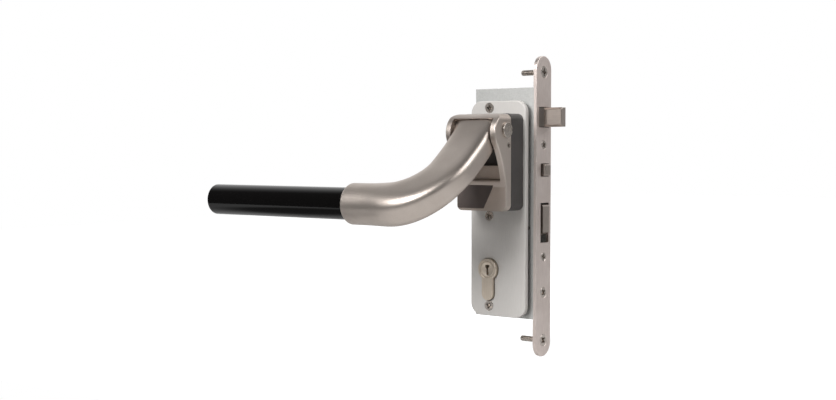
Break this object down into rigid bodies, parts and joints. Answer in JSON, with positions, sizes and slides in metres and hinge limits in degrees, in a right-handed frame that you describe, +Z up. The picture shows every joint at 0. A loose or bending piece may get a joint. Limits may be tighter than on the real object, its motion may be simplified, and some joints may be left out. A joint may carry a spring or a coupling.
{
  "type": "panic bar with mortice lock",
  "caption": "Push bar on a cast arm that swings in a housing on a backplate, draws the latch of a mortice lock and has a profile cylinder below.",
  "frame": {"origin": "on the axis of the square spindle, at the face of the door, which is the back of the long plate", "axes": "+X runs along the push bar to the lock edge of the door, +Y goes into the door, -Y out towards the person who pushes, +Z is up"},
  "size_m": [0.27, 0.1417, 0.235],
  "materials": {
    "cast_arm": "satin nickel finish on a smooth casting",
    "cast_housing": "satin nickel finish on a smooth casting",
    "box_black": "satin black",
    "bar_black": "gloss black",
    "plate_steel": "fine brushed",
    "face_steel": "brushed along its length",
    "bolt_nickel": "satin nickel",
    "lock_steel": "zinc plated sheet",
    "gear_steel": "plain machined steel",
    "cylinder_nickel": "satin nickel plate",
    "screw_steel": "bright",
    "spring_steel": "bright wire",
    "rubber_black": "matt",
    "bush_plastic": "natural"
  },
  "bodies": {
    "door_side": {"long_plate": "plate_steel", "plate_screws": "screw_steel", "plate_bush": "bush_plastic", "mechanism_box": "box_black", "housing": "cast_housing", "arm_buffer": "rubber_black", "body_screws": "screw_steel", "pivot_pin": "screw_steel", "side_screw": "screw_steel", "rack_spring": "spring_steel", "lock_case": "lock_steel", "lock_cover": "lock_steel", "case_posts": "lock_steel", "hook_pivot_pin": "gear_steel", "faceplate": "face_steel", "faceplate_screws": "screw_steel", "case_screws": "screw_steel", "cylinder_screw": "screw_steel", "latch_spring": "spring_steel", "trigger_spring": "spring_steel", "cylinder_body": "cylinder_nickel"},
    "arm": {"arm": "cast_arm", "hub_bushes": "bush_plastic", "hub_segment": "gear_steel", "push_bar": "bar_black", "bar_grub_screw": "screw_steel"},
    "rack": {"drive_rack": "gear_steel"},
    "spindle": {"spindle_pinion": "gear_steel", "square_spindle": "gear_steel", "follower": "gear_steel"},
    "latch": {"latch_bolt": "bolt_nickel", "latch_tail": "lock_steel"},
    "trigger": {"trigger": "bolt_nickel"},
    "hook": {"hook_bolt": "bolt_nickel"},
    "slide": {"drive_slide": "lock_steel"},
    "key": {"key_plug": "cylinder_nickel", "outside_plug": "cylinder_nickel", "cam": "gear_steel"}
  },
  "joints": [
    {"name": "bar_swing", "type": "hinge", "parent": "door_side", "child": "arm", "pos_m": [0.0082, -0.0275, 0.0246], "axis": [1, 0, 0], "range_deg": [0, 35], "stiffness_Nm_per_rad": 1.6, "springref_deg": -34.38},
    {"name": "rack_slide", "type": "slide", "parent": "door_side", "child": "rack", "axis": [0, 0, 1], "range_m": [0, 0.0074], "deforming": ["rack_spring"]},
    {"name": "spindle_turn", "type": "hinge", "parent": "door_side", "child": "spindle", "pos_m": [0, 0, 0], "axis": [0, -1, 0], "range_deg": [0, 52.6]},
    {"name": "latch_slide", "type": "slide", "parent": "door_side", "child": "latch", "axis": [-1, 0, 0], "range_m": [0, 0.0151], "deforming": ["latch_spring"]},
    {"name": "trigger_slide", "type": "slide", "parent": "door_side", "child": "trigger", "axis": [-1, 0, 0], "range_m": [0, 0.003], "stiffness_N_per_m": 400, "springref_m": -0.003, "deforming": ["trigger_spring"]},
    {"name": "slide_lift", "type": "slide", "parent": "door_side", "child": "slide", "axis": [0, 0, 1], "range_m": [0, 0.01148]},
    {"name": "hook_swing", "type": "hinge", "parent": "door_side", "child": "hook", "pos_m": [0.0315, 0.015, -0.0515], "axis": [0, 1, 0], "range_deg": [0, 85]},
    {"name": "key_turn", "type": "hinge", "parent": "door_side", "child": "key", "pos_m": [0, 0.0128, -0.085], "axis": [0, 1, 0], "continuous": true}
  ],
  "couplings": [
    {"joint": "rack_slide", "follows": "bar_swing", "m_per_rad": 0.012},
    {"joint": "spindle_turn", "follows": "bar_swing", "ratio": 1.5},
    {"joint": "latch_slide", "follows": "bar_swing", "m_per_rad": 0.024555},
    {"joint": "hook_swing", "follows": "slide_lift", "rad_per_m": 129.17}
  ]
}
